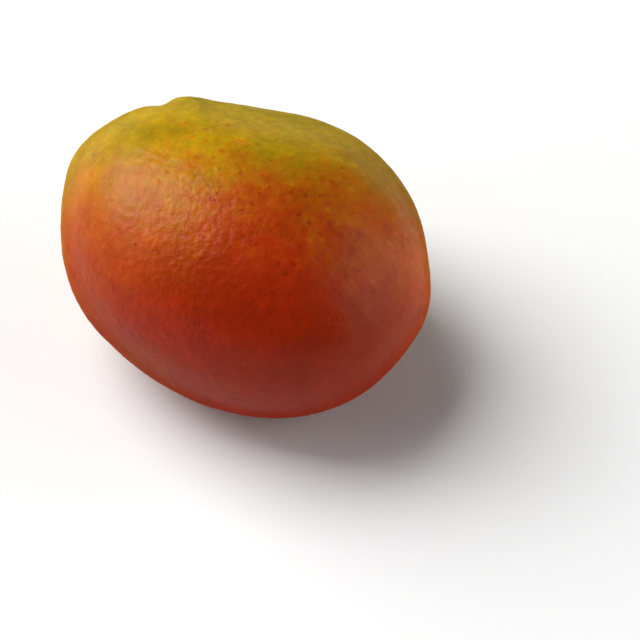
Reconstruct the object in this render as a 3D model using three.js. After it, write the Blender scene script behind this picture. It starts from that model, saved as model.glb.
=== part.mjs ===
import * as THREE from 'three';
import { mergeVertices } from 'three/addons/utils/BufferGeometryUtils.js';

// Whole ripe mango, lying on one cheek. Millimetres, +Z up, stem end towards +Y, floor at z = 0.
// A mango grows as one piece, so the fruit is one closed skin: shoulders, stem hollow and nose together.

// Sizes of the plain egg under the skin, before the fruit's own swellings
const HALF_LENGTH = 62;
const HALF_WIDTH = 51.5;
const HALF_THICKNESS = 43.5;
const FULLNESS = 2.15;
const WIDTH_GAIN_TO_STEM = 0.02;
const THICKNESS_GAIN_TO_STEM = 0.045;

// Stem hollow, set off the long axis towards the belly edge, with the crease that runs out of it
const STEM_TURN = 26;
const STEM_LIFT = 14;
const HOLLOW_SPREAD = 9;
const HOLLOW_DEPTH = 7.4;
const CREASE_END_TURN = 16;
const CREASE_END_LIFT = 36;
const CREASE_HALF_WIDTH = 4.4;
const CREASE_SPREAD = 8;
const CREASE_DEPTH = 1.9;

// Corky scar in the bottom of the hollow, where the stalk broke off: a low disc with a dimple
const SCAR_HALF_ANGLE = 4.2;
const SCAR_RISE = 0.9;
const DIMPLE_SPREAD = 1.7;
const DIMPLE_DEPTH = 0.7;

// Swellings and flats of the fruit. turn goes round the flat outline from the stem end towards +X,
// lift goes from the outline towards the upper cheek, spread is how wide the place is, all in degrees.
// rise is in millimetres, and a flat or a dip has a negative one.
const SWELLINGS = [
  { place: 'back shoulder', turn: -30, lift: 0, spread: 26, rise: -4.3 },
  { place: 'belly shoulder', turn: 53, lift: 22, spread: 16, rise: -1.9 },
  { place: 'belly edge', turn: 97, lift: 6, spread: 28, rise: 5 },
  { place: 'belly towards the nose', turn: 132, lift: 0, spread: 20, rise: 1.1 },
  { place: 'belly below the shoulder', turn: 70, lift: -14, spread: 22, rise: 0.8 },
  { place: 'nose', turn: 174, lift: 0, spread: 24, rise: 0.6 },
  { place: 'dip before the beak', turn: 146, lift: 0, spread: 9, rise: -1.1 },
  { place: 'beak', turn: 161, lift: 0, spread: 8, rise: 1.4 },
  { place: 'long back', turn: -95, lift: 0, spread: 38, rise: -3.3 },
  { place: 'lower back flat', turn: -72, lift: -22, spread: 8, rise: -0.5 },
  { place: 'upper cheek flat', turn: 60, lift: 40, spread: 30, rise: -7.4 },
  { place: 'lower cheek flat', turn: 60, lift: -40, spread: 30, rise: -3.6 },
  { place: 'rim on the belly side', turn: 29, lift: 33, spread: 7, rise: 1.6 },
  { place: 'rim on the back side', turn: 10, lift: 24, spread: 8, rise: 0.2 },
  { place: 'rim on the lower side', turn: 40, lift: -8, spread: 12, rise: 2.4 },
  { place: 'saddle behind the rim', turn: 3, lift: 18, spread: 7, rise: -0.8 },
  { place: 'knuckle of the back shoulder', turn: -10, lift: 14, spread: 8, rise: 1.1 },
  { place: 'flank under the knuckle', turn: -26, lift: 4, spread: 9, rise: -0.4 },
  { place: 'cheek it lies on', turn: 180, lift: -76, spread: 22, rise: -1.8 },
];

// How it lies: stem end up by the pitch, belly edge up by the roll, then settled into a small flat
const REST_PITCH = 6;
const REST_ROLL = -2;
const FLAT_SINK = 0.5;

// Facets: an even ball of triangles, drawn closer together round the stem hollow
const BALL_DETAIL = 21;
const CLOSER_BY = 0.55;
const CLOSER_SPREAD = 34;

const radians = THREE.MathUtils.degToRad;

function towards(turn, lift) {
  const flat = Math.cos(radians(lift));
  const x = Math.sin(radians(turn)) * flat;
  const y = Math.cos(radians(turn)) * flat;
  return new THREE.Vector3(x, y, Math.sin(radians(lift)));
}

function swelling(direction, centre, spread) {
  return Math.exp(-(1 - direction.dot(centre)) / radians(spread) ** 2);
}

const stem = towards(STEM_TURN, STEM_LIFT);
const creaseEnd = towards(CREASE_END_TURN, CREASE_END_LIFT);
const creaseMiddle = stem.clone().add(creaseEnd).normalize();
const creaseAcross = stem.clone().cross(creaseEnd).normalize();
const places = SWELLINGS.map((s) => ({ ...s, centre: towards(s.turn, s.lift) }));

// Distance from the middle of the fruit to the skin, seen in one direction
function reach(d) {
  const sum = Math.abs(d.x / HALF_WIDTH) ** FULLNESS
    + Math.abs(d.y / HALF_LENGTH) ** FULLNESS
    + Math.abs(d.z / HALF_THICKNESS) ** FULLNESS;
  let r = sum ** (-1 / FULLNESS);
  for (const p of places) {
    r += p.rise * swelling(d, p.centre, p.spread);
  }
  const across = d.dot(creaseAcross) / radians(CREASE_HALF_WIDTH);
  r -= CREASE_DEPTH * Math.exp(-across * across) * swelling(d, creaseMiddle, CREASE_SPREAD);
  r -= HOLLOW_DEPTH * swelling(d, stem, HOLLOW_SPREAD);
  const fromScar = (1 - d.dot(stem)) / (1 - Math.cos(radians(SCAR_HALF_ANGLE)));
  r += SCAR_RISE * Math.exp(-(fromScar ** 3));
  r -= DIMPLE_DEPTH * swelling(d, stem, DIMPLE_SPREAD);
  return r;
}

// Turns a direction towards the stem, so the hollow and its scar get smaller facets
function drawTowardsStem(d) {
  const angle = d.angleTo(stem);
  const share = CLOSER_BY * Math.exp(-((angle / radians(CLOSER_SPREAD)) ** 2));
  const axis = d.clone().cross(stem);
  if (axis.length() < 1e-9) {
    return d;
  }
  return d.applyAxisAngle(axis.normalize(), angle * share);
}

function skinGeometry() {
  const ball = new THREE.IcosahedronGeometry(1, BALL_DETAIL);
  ball.deleteAttribute('normal');
  ball.deleteAttribute('uv');
  const skin = mergeVertices(ball, 1e-5);
  const points = skin.attributes.position;
  const d = new THREE.Vector3();
  for (let i = 0; i < points.count; i += 1) {
    d.fromBufferAttribute(points, i).normalize();
    drawTowardsStem(d);
    d.multiplyScalar(reach(d));
    const along = d.y / HALF_LENGTH;
    d.x *= 1 + WIDTH_GAIN_TO_STEM * along;
    d.z *= 1 + THICKNESS_GAIN_TO_STEM * along;
    points.setXYZ(i, d.x, d.y, d.z);
  }
  return skin;
}

// Lays the fruit down and presses the lowest skin flat on the floor
function layDown(skin) {
  const pitch = new THREE.Matrix4().makeRotationX(radians(REST_PITCH));
  const roll = new THREE.Matrix4().makeRotationY(radians(REST_ROLL));
  skin.applyMatrix4(pitch.multiply(roll));
  skin.computeBoundingBox();
  const box = skin.boundingBox;
  const middleX = (box.min.x + box.max.x) / 2;
  const middleY = (box.min.y + box.max.y) / 2;
  skin.translate(-middleX, -middleY, -box.min.z - FLAT_SINK);
  const points = skin.attributes.position;
  for (let i = 0; i < points.count; i += 1) {
    points.setZ(i, Math.max(points.getZ(i), 0));
  }
  skin.computeVertexNormals();
  return skin;
}

const redSkin = new THREE.MeshStandardMaterial({ color: '#a8481f', roughness: 0.48, metalness: 0 });
const mango = new THREE.Mesh(layDown(skinGeometry()), redSkin);
mango.name = 'mango';

const group = new THREE.Group();
group.name = 'mango_fruit';
group.add(mango);

export default group;
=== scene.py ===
import math

import bpy
from mathutils import Matrix, Vector


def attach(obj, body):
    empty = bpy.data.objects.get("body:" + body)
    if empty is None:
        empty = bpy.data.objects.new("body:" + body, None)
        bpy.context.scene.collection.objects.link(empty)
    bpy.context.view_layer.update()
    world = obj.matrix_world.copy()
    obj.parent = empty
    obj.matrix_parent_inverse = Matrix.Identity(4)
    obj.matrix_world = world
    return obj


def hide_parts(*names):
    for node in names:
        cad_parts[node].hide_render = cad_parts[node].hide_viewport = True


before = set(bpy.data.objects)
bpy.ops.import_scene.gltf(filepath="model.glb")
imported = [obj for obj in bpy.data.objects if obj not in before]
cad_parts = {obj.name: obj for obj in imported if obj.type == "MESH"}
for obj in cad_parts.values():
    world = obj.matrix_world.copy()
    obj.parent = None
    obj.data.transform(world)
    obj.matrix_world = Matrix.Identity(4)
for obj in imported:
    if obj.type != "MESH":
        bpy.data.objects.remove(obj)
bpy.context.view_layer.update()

# The fruit
# A ripe mango grows as one piece: thin waxy peel over firm flesh, two full cheeks, a back and a
# flatter belly edge. It lies on one cheek, with its stem end a little up, and nothing fixes it.

# The inputs of the growing rule: lengths in millimetres, angles in degrees, and plain shares
FRUIT_SIZES = {
    "Half length": 62.0,
    "Half width": 51.5,
    "Half thickness": 43.5,
    "Fullness": 2.15,
    "Width gain to stem": 0.02,
    "Thickness gain to stem": 0.045,
    "Hollow depth": 7.4,
    "Crease depth": 1.9,
    "Scar rise": 0.9,
    "Scar dimple": 0.7,
    "Rest pitch": 6.0,
    "Rest roll": -2.0,
    "Crinkle size": 3.3,
    "Crinkle depth": 0.18,
    "Crinkle share": 0.3,
    "Pebble size": 2.8,
    "Pebble height": 0.06,
    "Dimple size": 7.0,
    "Dimple height": 0.17,
    "Lump size": 26.0,
    "Lump height": 0.25,
}
FRUIT_SEED = 4.0
# The middle of the form, in millimetres from the origin, and the squares along each side of the
# cube that the skin is blown up from
FRUIT_MIDDLE = (-3.04, 1.97, 40.53)
SKIN_SQUARES = 128
MILLIMETRE = 0.001

# The stem end, with its turn round the outline and its lift towards the upper cheek, and the sizes
# of its hollow, scar and crease, all in degrees
STEM = (26, 14)
CREASE_END = (16, 36)
HOLLOW_SPREAD = 9
SCAR_HALF_ANGLE = 4.2
DIMPLE_SPREAD = 1.7
CREASE_SPREAD = 8
CREASE_HALF_WIDTH = 4.4
# How steeply the scar ends at its edge
SCAR_STEEPNESS = 3.0

# Dry peel crinkles along the lines where a noise is 0, in valleys that end where it is this much
CRINKLE_WIDTH = 0.14
CRINKLES = {"seed": 17.0, "detail": 2.0, "rough": 0.6, "warp": 0.2}

# Each swelling or flat has its turn round the outline from the stem end, its lift towards the
# upper cheek and its spread in degrees, and its rise in millimetres. Most places were chosen one
# by one. A scratch program fitted most rises, the places of the stem end and two of its rims and
# the sizes of the egg to the photograph's outline, and they were then rounded.
SWELLINGS = {
    "back shoulder": (-30, 0, 26, -4.3),
    "belly shoulder": (53, 22, 16, -1.9),
    "belly edge": (97, 6, 28, 5),
    "belly towards the nose": (132, 0, 20, 1.1),
    "belly below the shoulder": (70, -14, 22, 0.8),
    "nose": (174, 0, 24, 0.6),
    "dip before the beak": (146, 0, 9, -1.1),
    "beak": (161, 0, 8, 1.4),
    "long back": (-95, 0, 38, -3.3),
    "lower back flat": (-72, -22, 8, -0.5),
    "upper cheek flat": (60, 40, 30, -7.4),
    "lower cheek flat": (60, -40, 30, -3.6),
    "rim on the belly side": (29, 33, 7, 1.6),
    "rim on the back side": (10, 24, 8, 0.2),
    "rim on the lower side": (40, -8, 12, 2.4),
    "saddle behind the rim": (3, 18, 7, -0.8),
    "knuckle of the back shoulder": (-10, 14, 8, 1.1),
    "flank under the knuckle": (-26, 4, 9, -0.4),
    "cheek it lies on": (180, -76, 22, -1.8),
}

# The sun coloured the peel from one side: shade yellow-green this way, sun red the other way. The
# direction was fitted to the photograph's colours.
SHADE_SIDE = (0.784, 0.608, 0.126)

# Places where the peel got more shade (+) or more sun (-) than that, with turn, lift and spread in
# degrees, and places where it is paler (+) or darker (-). A scratch program picked them from the
# photograph's smoothed colours, all but the last two of the shade, which are on the hidden side.
# They were then rounded and named.
SHADE_PLACES = {
    "edge of the back": (-97, -8, 12, 0.27),
    "under the back": (-91, -16, 16, 0.16),
    "pale upper back": (-67, 50, 12, 0.15),
    "orange of the back": (-94, 37, 9, 0.10),
    "red of the lower back": (-95, 17, 9, -0.21),
    "red along the lower back": (-110, 21, 9, -0.11),
    "red tongue by the shoulder": (-47, 14, 12, -0.25),
    "yellow by the crease": (-6, 32, 9, 0.10),
    "red of the middle": (-134, 39, 12, -0.20),
    "red under the middle": (-136, 31, 9, -0.22),
    "red top of the cheek": (-166, 69, 12, -0.14),
    "orange towards the nose": (-176, 32, 9, 0.11),
    "red above the nose": (153, 40, 9, -0.11),
    "upper belly": (106, 44, 16, 0.15),
    "shaded lower belly": (110, -35, 24, 0.12),
    "cheek it lies on": (180, -76, 30, 0.45),
}
# Lighter and darker places: painted light and shade as well as the peel's own tone
TONE_PLACES = {
    # Painted highlight on the back shoulder
    "light back shoulder": (-60, 47, 12, 0.12),
    "light belly shoulder": (30, 51, 16, 0.18),
    # Painted highlight on the top of the cheek
    "light top of the cheek": (-48, 70, 9, 0.09),
    "light lower back": (-90, 20, 9, 0.08),
    # Painted shade along the lower edge of the back
    "dark edge of the back": (-92, -5, 9, -0.16),
    "dark red of the back": (-114, 38, 9, -0.14),
    "light middle": (-145, 47, 9, 0.12),
    "dark towards the nose": (178, 43, 9, -0.15),
    # Painted light where the right edge of the nose catches the light
    "light nose": (160, 18, 12, 0.33),
    "dark upper cheek": (149, 65, 12, -0.26),
    "dark edge of the cap": (126, 83, 9, -0.12),
    "dark upper belly": (129, 37, 9, -0.15),
}
# The dry upper back, where the peel crinkles most, and the top of the cheek, where it has most
# mottles and specks, each with turn, lift and spread in degrees
CRINKLED = (-85, 62, 34)
MOTTLED = (-150, 70, 32)


def towards(turn, lift):
    """The direction from the middle of the fruit to a place on its skin."""
    turn, lift = math.radians(turn), math.radians(lift)
    return Vector((math.sin(turn) * math.cos(lift), math.cos(turn) * math.cos(lift), math.sin(lift)))


def feed(tree, socket, value):
    """Joins a socket to another step's result, or sets it to a plain value."""
    if isinstance(value, bpy.types.NodeSocket):
        tree.links.new(value, socket)
    else:
        socket.default_value = value


def number_step(tree, operation, *values):
    """One sum in a node tree. Gives its result's socket."""
    step = tree.nodes.new("ShaderNodeMath")
    step.operation = operation
    for socket, value in zip(step.inputs, values):
        feed(tree, socket, value)
    return step.outputs[0]


def added(tree, base, value, amount):
    """A number with some of another value added to it."""
    return number_step(tree, "MULTIPLY_ADD", value, amount, base)


def vector_step(tree, operation, *values):
    """One sum on points or directions in a node tree. Gives its result's socket."""
    step = tree.nodes.new("ShaderNodeVectorMath")
    step.operation = operation
    sockets = [step.inputs[0], step.inputs["Scale"]] if operation == "SCALE" else step.inputs
    for socket, value in zip(sockets, values):
        feed(tree, socket, value)
    return step.outputs["Value" if operation == "DOT_PRODUCT" else "Vector"]


def split(tree, vector):
    """The three numbers of a point."""
    step = tree.nodes.new("ShaderNodeSeparateXYZ")
    feed(tree, step.inputs[0], vector)
    return step.outputs[0], step.outputs[1], step.outputs[2]


def joined(tree, x, y, z):
    """A point from its three numbers."""
    step = tree.nodes.new("ShaderNodeCombineXYZ")
    for socket, value in zip(step.inputs, (x, y, z)):
        feed(tree, socket, value)
    return step.outputs[0]


def swelling(tree, direction, centre, spread, rise=1.0):
    """How much one swelling adds where the skin is seen in this direction."""
    near = number_step(tree, "SUBTRACT", vector_step(tree, "DOT_PRODUCT", direction, centre), 1.0)
    fall = number_step(tree, "DIVIDE", near, math.radians(spread) ** 2)
    return number_step(tree, "MULTIPLY", number_step(tree, "EXPONENT", fall), rise)


def swollen(tree, base, direction, places):
    """A number with a whole list of swellings added to it."""
    for turn, lift, spread, rise in places.values():
        one_more = swelling(tree, direction, towards(turn, lift), spread, rise)
        base = number_step(tree, "ADD", base, one_more)
    return base


def noise(tree, point, size, seed, detail=2.0, rough=0.5, warp=0.0):
    """Soft random values around 0, with hills as far apart as size."""
    step = tree.nodes.new("ShaderNodeTexNoise")
    step.noise_dimensions = "4D"
    feed(tree, step.inputs["Vector"], point)
    feed(tree, step.inputs["W"], seed)
    feed(tree, step.inputs["Scale"], number_step(tree, "DIVIDE", 1.0, size))
    step.inputs["Detail"].default_value = detail
    step.inputs["Roughness"].default_value = rough
    step.inputs["Distortion"].default_value = warp
    return number_step(tree, "SUBTRACT", step.outputs[0], 0.5)


def folds(tree, point, size, look):
    """Crinkled ground: 0 along the narrow valleys and 1 on the flats between them."""
    from_line = number_step(tree, "ABSOLUTE", noise(tree, point, size, **look))
    from_line = number_step(tree, "MINIMUM", from_line, CRINKLE_WIDTH)
    return number_step(tree, "DIVIDE", from_line, CRINKLE_WIDTH)


def moved(tree, geometry, position=None, offset=None):
    """Puts the points of a mesh somewhere else."""
    step = tree.nodes.new("GeometryNodeSetPosition")
    feed(tree, step.inputs["Geometry"], geometry)
    if position is not None:
        feed(tree, step.inputs["Position"], position)
    if offset is not None:
        feed(tree, step.inputs["Offset"], offset)
    return step.outputs[0]


def remembered(tree, geometry, name, value):
    """Keeps a number on each point of a mesh, for the peel's colours to read."""
    step = tree.nodes.new("GeometryNodeStoreNamedAttribute")
    step.data_type = "FLOAT"
    step.domain = "POINT"
    feed(tree, step.inputs["Geometry"], geometry)
    feed(tree, step.inputs["Name"], name)
    feed(tree, step.inputs["Value"], value)
    return step.outputs[0]


def remembered_value(tree, name):
    """A number that was kept on the points of the mesh."""
    if tree.bl_idname == "GeometryNodeTree":
        step = tree.nodes.new("GeometryNodeInputNamedAttribute")
        step.data_type = "FLOAT"
        step.inputs["Name"].default_value = name
        return step.outputs["Attribute"]
    step = tree.nodes.new("ShaderNodeAttribute")
    step.attribute_name = name
    return step.outputs["Fac"]


def every_direction(tree):
    """A cube from -1 to 1 for the skin, and the direction of each of its points from the middle.

    The tangent makes the squares about as large at the corners as in the middle of a side.
    """
    box = tree.nodes.new("GeometryNodeMeshCube")
    box.inputs["Size"].default_value = (2, 2, 2)
    for side in ("Vertices X", "Vertices Y", "Vertices Z"):
        box.inputs[side].default_value = SKIN_SQUARES + 1
    place = tree.nodes.new("GeometryNodeInputPosition").outputs[0]
    evened = vector_step(tree, "TANGENT", vector_step(tree, "SCALE", place, math.pi / 4))
    return box.outputs["Mesh"], vector_step(tree, "NORMALIZE", evened)


def egg_reach(tree, given, direction):
    """How far the plain full egg reaches from its middle in each direction."""
    halves = joined(tree, given["Half width"], given["Half length"], given["Half thickness"])
    shares = vector_step(tree, "ABSOLUTE", vector_step(tree, "DIVIDE", direction, halves))
    total = 0.0
    for share in split(tree, shares):
        full = number_step(tree, "POWER", share, given["Fullness"])
        total = number_step(tree, "ADD", full, total)
    return number_step(tree, "POWER", total, number_step(tree, "DIVIDE", -1.0, given["Fullness"]))


def stem_end(tree, direction):
    """The hollow, the corky scar in it, the dimple of the scar and the crease, each from 0 to 1."""
    stem = towards(*STEM)
    hollow = swelling(tree, direction, stem, HOLLOW_SPREAD)
    from_stem = vector_step(tree, "DOT_PRODUCT", direction, stem)
    from_stem = number_step(tree, "SUBTRACT", 1.0, from_stem)
    from_stem = number_step(tree, "DIVIDE", from_stem, 1 - math.cos(math.radians(SCAR_HALF_ANGLE)))
    from_stem = number_step(tree, "POWER", from_stem, SCAR_STEEPNESS)
    scar = number_step(tree, "EXPONENT", number_step(tree, "MULTIPLY", from_stem, -1.0))
    dimple = swelling(tree, direction, stem, DIMPLE_SPREAD)
    middle = (stem + towards(*CREASE_END)).normalized()
    beside = stem.cross(towards(*CREASE_END)).normalized()
    across = vector_step(tree, "DOT_PRODUCT", direction, beside)
    across = number_step(tree, "DIVIDE", across, math.radians(CREASE_HALF_WIDTH))
    fall = number_step(tree, "MULTIPLY", -1.0, number_step(tree, "POWER", across, 2.0))
    fall = number_step(tree, "EXPONENT", fall)
    crease = number_step(tree, "MULTIPLY", fall, swelling(tree, direction, middle, CREASE_SPREAD))
    return hollow, scar, dimple, crease


def laid_down(tree, given, grown):
    """The grown fruit turned as it lies, and lifted until it rests on the floor, in metres."""
    for axis, angle in (("Y_AXIS", "Rest roll"), ("X_AXIS", "Rest pitch")):
        turn_step = tree.nodes.new("ShaderNodeVectorRotate")
        turn_step.rotation_type = axis
        feed(tree, turn_step.inputs["Vector"], grown)
        feed(tree, turn_step.inputs["Angle"], number_step(tree, "RADIANS", given[angle]))
        grown = turn_step.outputs[0]
    return vector_step(tree, "SCALE", vector_step(tree, "ADD", grown, FRUIT_MIDDLE), MILLIMETRE)


def skin_relief(tree, given):
    """Pebbles, dimples, lumps and crinkles of the skin, in millimetres."""
    place = tree.nodes.new("GeometryNodeInputPosition").outputs[0]
    millimetres = vector_step(tree, "SCALE", place, 1 / MILLIMETRE)
    relief = 0.0
    for name in ("Pebble", "Dimple", "Lump"):
        hills = noise(tree, millimetres, given[name + " size"], given["Seed"], detail=1.0)
        height = number_step(tree, "MULTIPLY", given[name + " height"], 2.0)
        relief = added(tree, relief, hills, height)
    share = number_step(tree, "SUBTRACT", 1.0, given["Crinkle share"])
    share = added(tree, given["Crinkle share"], remembered_value(tree, "crinkled"), share)
    share = number_step(tree, "MULTIPLY", share, given["Crinkle depth"])
    return added(tree, relief, folds(tree, millimetres, given["Crinkle size"], CRINKLES), share)


def fruit_tree():
    """The growing rule of the fruit: an egg with swellings, laid down, then pebbled."""
    tree = bpy.data.node_groups.new("mango form", "GeometryNodeTree")
    tree.interface.new_socket(name="Geometry", in_out="OUTPUT", socket_type="NodeSocketGeometry")
    for name in (*FRUIT_SIZES, "Seed"):
        tree.interface.new_socket(name=name, in_out="INPUT", socket_type="NodeSocketFloat")
    tree.interface.new_socket(name="Peel", in_out="INPUT", socket_type="NodeSocketMaterial")
    given = tree.nodes.new("NodeGroupInput").outputs

    skin, direction = every_direction(tree)
    hollow, scar, dimple, crease = stem_end(tree, direction)

    reach = swollen(tree, egg_reach(tree, given, direction), direction, SWELLINGS)
    for change, shape, size in (("SUBTRACT", hollow, "Hollow depth"),
                                ("SUBTRACT", crease, "Crease depth"),
                                ("ADD", scar, "Scar rise"),
                                ("SUBTRACT", dimple, "Scar dimple")):
        amount = number_step(tree, "MULTIPLY", shape, given[size])
        reach = number_step(tree, change, reach, amount)
    x, y, z = split(tree, vector_step(tree, "SCALE", direction, reach))
    along = number_step(tree, "DIVIDE", y, given["Half length"])
    x = number_step(tree, "MULTIPLY", x, added(tree, 1.0, along, given["Width gain to stem"]))
    z = number_step(tree, "MULTIPLY", z, added(tree, 1.0, along, given["Thickness gain to stem"]))

    side_light = vector_step(tree, "DOT_PRODUCT", direction, Vector(SHADE_SIDE).normalized())
    kept = {
        "hollow": hollow,
        "scar": scar,
        "shade": swollen(tree, side_light, direction, SHADE_PLACES),
        # The tone also holds painted light and shade.
        "tone": swollen(tree, 0.0, direction, TONE_PLACES),
        "crinkled": swelling(tree, direction, towards(*CRINKLED[:2]), CRINKLED[2]),
        "mottled": swelling(tree, direction, towards(*MOTTLED[:2]), MOTTLED[2]),
        "dimple": dimple,
    }
    for name, value in kept.items():
        skin = remembered(tree, skin, name, value)
    skin = moved(tree, skin, position=laid_down(tree, given, joined(tree, x, y, z)))

    relief = skin_relief(tree, given)
    skin = remembered(tree, skin, "relief", relief)
    outwards = tree.nodes.new("GeometryNodeInputNormal").outputs[0]
    offset = vector_step(tree, "SCALE", outwards, number_step(tree, "MULTIPLY", relief, MILLIMETRE))
    skin = moved(tree, skin, offset=offset)
    x, y, z = split(tree, tree.nodes.new("GeometryNodeInputPosition").outputs[0])
    skin = moved(tree, skin, position=joined(tree, x, y, number_step(tree, "MAXIMUM", z, 0.0)))

    smooth = tree.nodes.new("GeometryNodeSetShadeSmooth")
    feed(tree, smooth.inputs["Geometry"], skin)
    whole = tree.nodes.new("GeometryNodeRealizeInstances")
    feed(tree, whole.inputs["Geometry"], smooth.outputs[0])
    finish = tree.nodes.new("GeometryNodeSetMaterial")
    feed(tree, finish.inputs["Geometry"], whole.outputs[0])
    feed(tree, finish.inputs["Material"], given["Peel"])
    feed(tree, tree.nodes.new("NodeGroupOutput").inputs["Geometry"], finish.outputs[0])
    return tree


# Colours of the peel, from the full sun side (-1) to the full shade side (+1). They were worked out
# from the photograph's colours and a fit of its light.
PEEL_COLOURS = {
    -1.0: (0.300, 0.0165, 0.001),
    -0.7: (0.306, 0.0210, 0.001),
    -0.45: (0.320, 0.0345, 0.001),
    -0.25: (0.345, 0.0560, 0.001),
    -0.05: (0.361, 0.090, 0.0015),
    0.15: (0.350, 0.132, 0.0015),
    0.35: (0.322, 0.173, 0.0015),
    0.6: (0.300, 0.184, 0.0015),
    1.0: (0.252, 0.181, 0.003),
}
# The yellow-green cap starts and is full at these shades
CAP_EDGE = (0.05, 0.5)

# Mottling: how far apart the patches are in millimetres, and how much the shade or the tone
# changes in them. All of it is stronger in the mottled place and on the cap.
SHADE_MOTTLES = {24.0: 0.26, 9.0: 0.40, 3.6: 0.34, 1.6: 0.10}
SHADE_SEED = 1.0
TONE_MOTTLES = {16.0: 0.32, 6.0: 0.34, 2.4: 0.34}
TONE_SEED = 7.0
MOTTLE_WARP = 0.8
MOTTLE_STRENGTH = 0.62
MOTTLE_GAIN_MOTTLED = 0.8
MOTTLE_GAIN_CAP = 0.5
TONE_GAIN_CAP = 0.7
# Painted light on the raised parts of the relief and painted shade in its valleys
RELIEF_PAINTED_LIGHT_AND_SHADE = 0.25

# Small marks, with how far apart and how wide they are in millimetres, what share of the places
# has one and how ragged it is. A shift keeps each kind of mark off the places of the others.
DABS = {"spacing": 4.3, "radius": 1.5, "share": 0.45, "ragged": 1.6}
DAB_SHIFT = (7.3, 2.9, 5.1)
BLUSHES = {"spacing": 4.0, "radius": 1.8, "share": 0.45, "ragged": 2.2}
BLUSH_SHIFT = (1.9, 8.3, 4.7)
SPECKS = {"spacing": 3.2, "radius": 1.5, "ragged": 2.2}
SPECK_SHIFT = (3.1, 1.7, 9.2)
LENTICELS = {"spacing": 2.8, "radius": 0.55, "share": 0.7, "ragged": 1.0}
# A mark ends at this much of its radius plus a random part of the change, and is full only near its
# middle. The marks that the share only just lets in are faint.
MARK_WIDTH = 0.5
MARK_WIDTH_CHANGE = 0.6
MARK_FULL = 0.15
MARK_FAINT = 0.1
# Specks come in groups, and most of them in the mottled place.
SPECK_GROUPS = {"size": 12.0, "seed": 11.0}
SPECK_SHARE = 0.03
SPECK_SHARE_GROUPS = 1.3
SPECK_SHARE_MOTTLED = 0.50

# What each kind of mark and the stem hollow do to the shade and the tone
DAB_SHADE = 0.16
DAB_TONE = 0.07
BLUSH_SHADE = -0.22
SPECK_SHADE = -0.15
SPECK_TONE = -0.25
HOLLOW_SHADE = 0.18
# Painted shade: the stem hollow is darker
HOLLOW_PAINTED_SHADE = -0.22
LENTICEL_COLOUR = (0.36, 0.20, 0.05)
LENTICEL_COVER = 0.10

# The stem scar is a disc of dry cork with a darker rim, a paler ring and a dark pith in it. Each
# border goes softly from one number to the other and has a noise that makes it ragged.
CORK_COLOUR = (0.15, 0.088, 0.036)
CORK_BORDER = (0.35, 0.6)
CORK_RAGGED = 0.9
CORK_WANDER = {"size": 1.2, "seed": 3.0}
CORK_GRAIN = {"size": 0.9, "seed": 5.0, "detail": 3.0}
CORK_GRAIN_LIGHT = 1.6
RIM_BORDER = (0.95, 0.55)
RIM_LIGHT = -0.45
RING_OUTSIDE = (0.10, 0.25)
RING_INSIDE = (0.55, 0.35)
RING_LIGHT = 0.25
PITH_BORDER = (0.45, 0.95)
PITH_RAGGED = 0.5
PITH_WANDER = {"size": 1.0, "seed": 15.0}
PITH_LIGHT = -0.55
# Flecks of the same cork lie round the scar in the hollow.
RUSSET_FLECKS = {"size": 1.6, "seed": 13.0, "detail": 3.0}
RUSSET_RAGGED = 1.5
RUSSET_BORDER = (0.85, 1.15)
RUSSET_COVER = 0.5

# Wax gives a satin gloss that goes dull where the bloom is seen from the side, and on cork.
PEEL_SHINE = 0.125
PEEL_ROUGHNESS = 0.33
ROUGHNESS_PATCHES = {"size": 4.0, "seed": 6.0}
ROUGHNESS_CHANGE = 0.16
BLOOM_BORDER = (0.48, 0.86)
BLOOM_ROUGHNESS = 0.62
CORK_ROUGHNESS = 0.45

# Relief too fine for the mesh, with heights in millimetres
PORES = {"size": 0.9, "seed": 8.0}
PORE_HEIGHT = 0.04
GRAIN = {"size": 2.2, "seed": 9.0, "warp": 0.8}
GRAIN_HEIGHT = 0.105
FINE_CRINKLE_SIZE = 2.5
FINE_CRINKLES = {"seed": 21.0, "detail": 2.0, "rough": 0.6, "warp": 0.2}
FINE_CRINKLE_HEIGHT = 0.010
FINE_CRINKLE_HEIGHT_DRY = 0.050
LENTICEL_HEIGHT = 0.012
SPECK_HEIGHT = -0.08
DAB_HEIGHT = 0.05
PITH_HEIGHT = -0.3
CORK_HEIGHT = 0.15


def eased(tree, value, start, end):
    """Goes softly from 0 to 1 as the value goes from start to end."""
    step = tree.nodes.new("ShaderNodeMapRange")
    step.interpolation_type = "SMOOTHSTEP"
    for socket, number in zip(step.inputs, (value, start, end, 0.0, 1.0)):
        feed(tree, socket, number)
    return step.outputs[0]


def blended(tree, amount, first, second):
    """A colour between two colours."""
    step = tree.nodes.new("ShaderNodeMix")
    step.data_type = "RGBA"
    factor, first_colour, second_colour = step.inputs[0], step.inputs[6], step.inputs[7]
    feed(tree, factor, amount)
    feed(tree, first_colour, (*first, 1) if isinstance(first, tuple) else first)
    feed(tree, second_colour, (*second, 1) if isinstance(second, tuple) else second)
    return step.outputs[2]


def shaken(tree, point, size, amount):
    """A point moved a little at random, so that marks get ragged outlines."""
    step = tree.nodes.new("ShaderNodeTexNoise")
    feed(tree, step.inputs["Vector"], point)
    step.inputs["Scale"].default_value = 1 / size
    away = vector_step(tree, "SUBTRACT", step.outputs["Color"], (0.5, 0.5, 0.5))
    return vector_step(tree, "ADD", point, vector_step(tree, "SCALE", away, amount))


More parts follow.
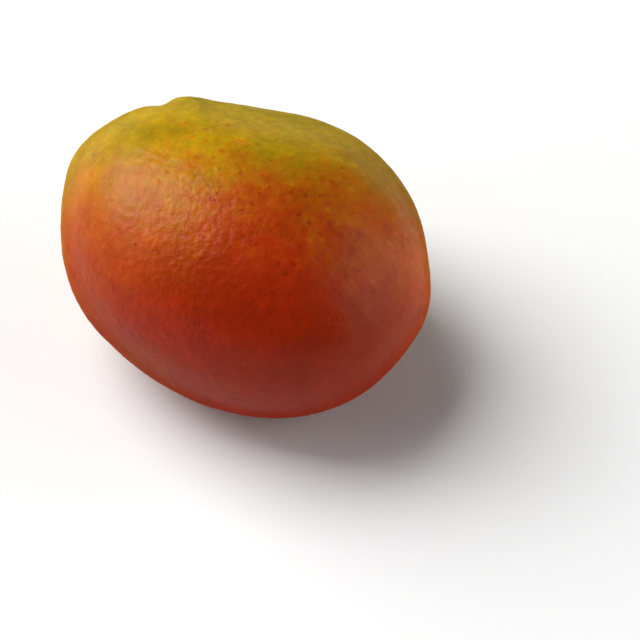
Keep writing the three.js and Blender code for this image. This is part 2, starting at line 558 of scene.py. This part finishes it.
def marks(tree, point, spacing, radius, share, ragged):
    """Small ragged marks at random places: 1 in the middle of a mark and 0 outside it."""
    step = tree.nodes.new("ShaderNodeTexVoronoi")
    feed(tree, step.inputs["Vector"], shaken(tree, point, radius, ragged * radius))
    step.inputs["Scale"].default_value = 1 / spacing
    chance, size, _ = split(tree, step.outputs["Color"])
    narrowest, change = MARK_WIDTH * radius / spacing, MARK_WIDTH_CHANGE * radius / spacing
    widest = added(tree, narrowest, size, change)
    middle = number_step(tree, "MULTIPLY", widest, MARK_FULL)
    mark = eased(tree, step.outputs["Distance"], widest, middle)
    missing = number_step(tree, "SUBTRACT", 1.0, share)
    there = eased(tree, chance, missing, number_step(tree, "ADD", missing, MARK_FAINT))
    return number_step(tree, "MULTIPLY", mark, there)


def mottling(tree, point, mottles, seed, base):
    """Soft patches of several sizes, added to a number."""
    for size, amount in mottles.items():
        patches = noise(tree, point, size, seed + size, detail=1.0, warp=MOTTLE_WARP)
        base = added(tree, base, patches, amount)
    return base


def sun_colour(tree, point, dabs, specks):
    """Peel colour: its place between sun and shade, its tone, and painted light and shade."""
    plain_shade = remembered_value(tree, "shade")
    cap = eased(tree, plain_shade, *CAP_EDGE)
    hollow = remembered_value(tree, "hollow")

    mottle = mottling(tree, point, SHADE_MOTTLES, SHADE_SEED, 0.0)
    mottle = added(tree, mottle, dabs, DAB_SHADE)
    blushes = marks(tree, vector_step(tree, "ADD", point, BLUSH_SHIFT), **BLUSHES)
    mottle = added(tree, mottle, blushes, BLUSH_SHADE)
    mottle = added(tree, mottle, specks, SPECK_SHADE)
    strength = added(tree, MOTTLE_STRENGTH, remembered_value(tree, "mottled"), MOTTLE_GAIN_MOTTLED)
    strength = added(tree, strength, cap, MOTTLE_GAIN_CAP)
    shade = added(tree, plain_shade, mottle, strength)
    shade = added(tree, shade, hollow, HOLLOW_SHADE)
    ramp = tree.nodes.new("ShaderNodeValToRGB")
    feed(tree, ramp.inputs[0], number_step(tree, "MULTIPLY_ADD", shade, 0.5, 0.5))
    stops = ramp.color_ramp.elements
    while len(stops) < len(PEEL_COLOURS):
        stops.new(0.5)
    for stop, (side, colour) in zip(stops, PEEL_COLOURS.items()):
        stop.position = (side + 1) / 2
        stop.color = (*colour, 1)

    # Painted light on the raised relief and painted shade in its valleys
    patches = number_step(tree, "MULTIPLY", remembered_value(tree, "relief"), RELIEF_PAINTED_LIGHT_AND_SHADE)
    patches = mottling(tree, point, TONE_MOTTLES, TONE_SEED, patches)
    strength = added(tree, 1.0, cap, TONE_GAIN_CAP)
    tone = added(tree, remembered_value(tree, "tone"), patches, strength)
    tone = added(tree, tone, specks, SPECK_TONE)
    tone = added(tree, tone, dabs, DAB_TONE)
    # Painted shade darkens the stem hollow
    tone = added(tree, tone, hollow, HOLLOW_PAINTED_SHADE)
    return vector_step(tree, "SCALE", ramp.outputs[0], number_step(tree, "EXPONENT", tone))


def stem_cork(tree, point):
    """The corky scar of the stem: where it is, how light it is, its pith, and flecks round it."""
    wander = noise(tree, point, **CORK_WANDER)
    ragged = added(tree, remembered_value(tree, "scar"), wander, CORK_RAGGED)
    cork = eased(tree, ragged, *CORK_BORDER)
    rim = eased(tree, ragged, *RIM_BORDER)
    light = added(tree, 1.0, noise(tree, point, **CORK_GRAIN), CORK_GRAIN_LIGHT)
    light = number_step(tree, "MULTIPLY", light, added(tree, 1.0, rim, RIM_LIGHT))

    wander = noise(tree, point, **PITH_WANDER)
    inwards = added(tree, remembered_value(tree, "dimple"), wander, PITH_RAGGED)
    outer, inner = eased(tree, inwards, *RING_OUTSIDE), eased(tree, inwards, *RING_INSIDE)
    ring = number_step(tree, "MULTIPLY", outer, inner)
    light = added(tree, light, ring, RING_LIGHT)
    pith = eased(tree, inwards, *PITH_BORDER)
    light = number_step(tree, "MULTIPLY", light, added(tree, 1.0, pith, PITH_LIGHT))

    wander = noise(tree, point, **RUSSET_FLECKS)
    ragged = added(tree, remembered_value(tree, "hollow"), wander, RUSSET_RAGGED)
    flecks = eased(tree, ragged, *RUSSET_BORDER)
    under_cork = number_step(tree, "MULTIPLY", cork, RUSSET_COVER)
    cover = number_step(tree, "SUBTRACT", RUSSET_COVER, under_cork)
    return cork, light, pith, number_step(tree, "MULTIPLY", flecks, cover)


def peel():
    """Thin waxy peel: red on the sun side, yellow-green on the shade side, with lenticels."""
    material = bpy.data.materials.new("mango peel")
    material.use_nodes = True
    tree = material.node_tree
    shader = tree.nodes["Principled BSDF"]
    place = tree.nodes.new("ShaderNodeTexCoord").outputs["Object"]
    point = vector_step(tree, "SCALE", place, 1 / MILLIMETRE)

    dabs = marks(tree, vector_step(tree, "ADD", point, DAB_SHIFT), **DABS)
    share = added(tree, SPECK_SHARE, noise(tree, point, **SPECK_GROUPS), SPECK_SHARE_GROUPS)
    share = added(tree, share, remembered_value(tree, "mottled"), SPECK_SHARE_MOTTLED)
    specks = marks(tree, vector_step(tree, "ADD", point, SPECK_SHIFT), share=share, **SPECKS)
    lenticels = marks(tree, point, **LENTICELS)
    cork, cork_light, pith, russet = stem_cork(tree, point)

    colour = sun_colour(tree, point, dabs, specks)
    lenticel_cover = number_step(tree, "MULTIPLY", lenticels, LENTICEL_COVER)
    colour = blended(tree, lenticel_cover, colour, LENTICEL_COLOUR)
    colour = blended(tree, cork, colour, vector_step(tree, "SCALE", CORK_COLOUR, cork_light))
    feed(tree, shader.inputs["Base Color"], blended(tree, russet, colour, CORK_COLOUR))

    edge = tree.nodes.new("ShaderNodeLayerWeight")
    bloom = eased(tree, edge.outputs["Facing"], *BLOOM_BORDER)
    patches = noise(tree, point, **ROUGHNESS_PATCHES)
    roughness = added(tree, PEEL_ROUGHNESS, patches, ROUGHNESS_CHANGE)
    roughness = added(tree, roughness, bloom, BLOOM_ROUGHNESS)
    feed(tree, shader.inputs["Roughness"], added(tree, roughness, cork, CORK_ROUGHNESS))
    shader.inputs["Specular IOR Level"].default_value = PEEL_SHINE

    height = number_step(tree, "MULTIPLY", noise(tree, point, **PORES), PORE_HEIGHT)
    height = added(tree, height, noise(tree, point, **GRAIN), GRAIN_HEIGHT)
    dryness = remembered_value(tree, "crinkled")
    rise = added(tree, FINE_CRINKLE_HEIGHT, dryness, FINE_CRINKLE_HEIGHT_DRY)
    height = added(tree, height, folds(tree, point, FINE_CRINKLE_SIZE, FINE_CRINKLES), rise)
    height = added(tree, height, lenticels, LENTICEL_HEIGHT)
    height = added(tree, height, specks, SPECK_HEIGHT)
    height = added(tree, height, dabs, DAB_HEIGHT)
    height = added(tree, height, pith, PITH_HEIGHT)
    height = added(tree, height, number_step(tree, "MULTIPLY", cork, cork_light), CORK_HEIGHT)
    bump = tree.nodes.new("ShaderNodeBump")
    bump.inputs["Distance"].default_value = MILLIMETRE
    feed(tree, bump.inputs["Height"], height)
    feed(tree, shader.inputs["Normal"], bump.outputs[0])
    return material


skin_peel = peel()
bare = bpy.data.meshes.new("mango bare")
fruit = bpy.data.objects.new("whole_mango", bare)
bpy.context.scene.collection.objects.link(fruit)
growth = fruit.modifiers.new("growth", "NODES")
growth.node_group = fruit_tree()
for socket in growth.node_group.interface.items_tree:
    if socket.item_type == "SOCKET" and socket.in_out == "INPUT":
        if socket.name == "Peel":
            growth[socket.identifier] = skin_peel
        else:
            growth[socket.identifier] = FRUIT_SIZES.get(socket.name, FRUIT_SEED)
bpy.context.view_layer.update()
grown_fruit = fruit.evaluated_get(bpy.context.evaluated_depsgraph_get())
fruit.data = bpy.data.meshes.new_from_object(grown_fruit)
fruit.modifiers.clear()
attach(fruit, "root")
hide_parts("mango")

# The floor
# A plain matt floor, pale and level, under the fruit. It is wide enough to run to the horizon in a
# view from any side, and the fruit only rests on it.

FLOOR_RADIUS = 12.0
FLOOR_EDGES = 96
FLOOR_COLOUR = (0.74, 0.74, 0.74, 1)
FLOOR_ROUGHNESS = 0.9
FLOOR_SHINE = 0.1

floor_turns = [2 * math.pi * i / FLOOR_EDGES for i in range(FLOOR_EDGES)]
floor_rim = [(FLOOR_RADIUS * math.cos(turn), FLOOR_RADIUS * math.sin(turn), 0)
             for turn in floor_turns]
floor_mesh = bpy.data.meshes.new("pale floor")
floor_mesh.from_pydata(floor_rim, [], [range(FLOOR_EDGES)])
floor = bpy.data.objects.new("pale_floor", floor_mesh)
bpy.context.scene.collection.objects.link(floor)
floor_paint = bpy.data.materials.new("pale floor paint")
floor_paint.use_nodes = True
floor_shader = floor_paint.node_tree.nodes["Principled BSDF"]
floor_shader.inputs["Base Color"].default_value = FLOOR_COLOUR
floor_shader.inputs["Roughness"].default_value = FLOOR_ROUGHNESS
floor_shader.inputs["Specular IOR Level"].default_value = FLOOR_SHINE
floor_mesh.materials.append(floor_paint)

# The light
# A little white light comes from the whole room, and more from near its horizon. A large soft box
# stands high behind the stem end and a weaker one left of it. A wide one low on the other side
# fills the shadows.

ROOM_STRENGTH = 0.07
HORIZON_STRENGTH = 0.7
HORIZON_HEIGHT = 0.07
LAMP_DISTANCE = 5.0
LAMP_AIM = Vector((0, 0, 0.04))
# The side that each soft box stands on, its width and height in metres and its power in watts
SOFT_BOXES = {
    "key soft box": ((-0.12, 0.65, 0.75), 3.75, 4.75, 428),
    "side soft box": ((-0.55, 0.68, 0.48), 4.0, 3.2, 70),
    "fill soft box": ((0.52, -0.80, 0.28), 5.0, 5.0, 162),
}

room = bpy.data.worlds.new("white room")
room.use_nodes = True
backdrop = room.node_tree.nodes["Background"]
backdrop.inputs["Color"].default_value = (1, 1, 1, 1)
looking = room.node_tree.nodes.new("ShaderNodeTexCoord").outputs["Generated"]
lowness = eased(room.node_tree, split(room.node_tree, looking)[2], HORIZON_HEIGHT, 0.0)
brightness = added(room.node_tree, ROOM_STRENGTH, lowness, HORIZON_STRENGTH - ROOM_STRENGTH)
feed(room.node_tree, backdrop.inputs["Strength"], brightness)
bpy.context.scene.world = room

for name, (side, width, height, power) in SOFT_BOXES.items():
    light = bpy.data.lights.new(name, "AREA")
    light.shape = "RECTANGLE"
    light.size = width
    light.size_y = height
    light.energy = power
    lamp = bpy.data.objects.new(name, light)
    away = Vector(side).normalized()
    lamp.location = away * LAMP_DISTANCE + LAMP_AIM
    lamp.rotation_euler = (-away).to_track_quat("-Z", "Y").to_euler()
    bpy.context.scene.collection.objects.link(lamp)

# The camera
# It looks down at the fruit across its back, as in the photograph, and the fruit stands left of
# the middle of the picture and above it.

CAMERA_AZIMUTH = math.radians(-53.6)
CAMERA_ELEVATION = math.radians(48)
CAMERA_DISTANCE = 0.65
PIXELS_PER_METRE = 3196
IMAGE_SIDE = 640
FRUIT_PIXEL = (234.2, 249.8)
SENSOR_WIDTH = 36

picture_right = Vector((math.cos(CAMERA_AZIMUTH), math.sin(CAMERA_AZIMUTH), 0))
to_camera = Vector((math.sin(CAMERA_AZIMUTH) * math.cos(CAMERA_ELEVATION),
                    -math.cos(CAMERA_AZIMUTH) * math.cos(CAMERA_ELEVATION),
                    math.sin(CAMERA_ELEVATION)))
picture_up = to_camera.cross(picture_right)
fruit_middle = Vector(FRUIT_MIDDLE) * MILLIMETRE
aim = (fruit_middle
       + picture_right * (IMAGE_SIDE / 2 - FRUIT_PIXEL[0]) / PIXELS_PER_METRE
       - picture_up * (IMAGE_SIDE / 2 - FRUIT_PIXEL[1]) / PIXELS_PER_METRE)
lens = bpy.data.cameras.new("view")
lens.sensor_width = SENSOR_WIDTH
lens.lens = SENSOR_WIDTH * PIXELS_PER_METRE * CAMERA_DISTANCE / IMAGE_SIDE
camera = bpy.data.objects.new("view", lens)
camera.location = fruit_middle + to_camera * CAMERA_DISTANCE
facing_fruit = Matrix((picture_right, picture_up, to_camera)).transposed().to_quaternion()
swing_to_aim = (-to_camera).rotation_difference(aim - camera.location)
camera.rotation_euler = (swing_to_aim @ facing_fruit).to_euler()
bpy.context.scene.collection.objects.link(camera)
bpy.context.scene.camera = camera
bpy.context.scene.view_settings.view_transform = "Standard"

bpy.context.view_layer.update()
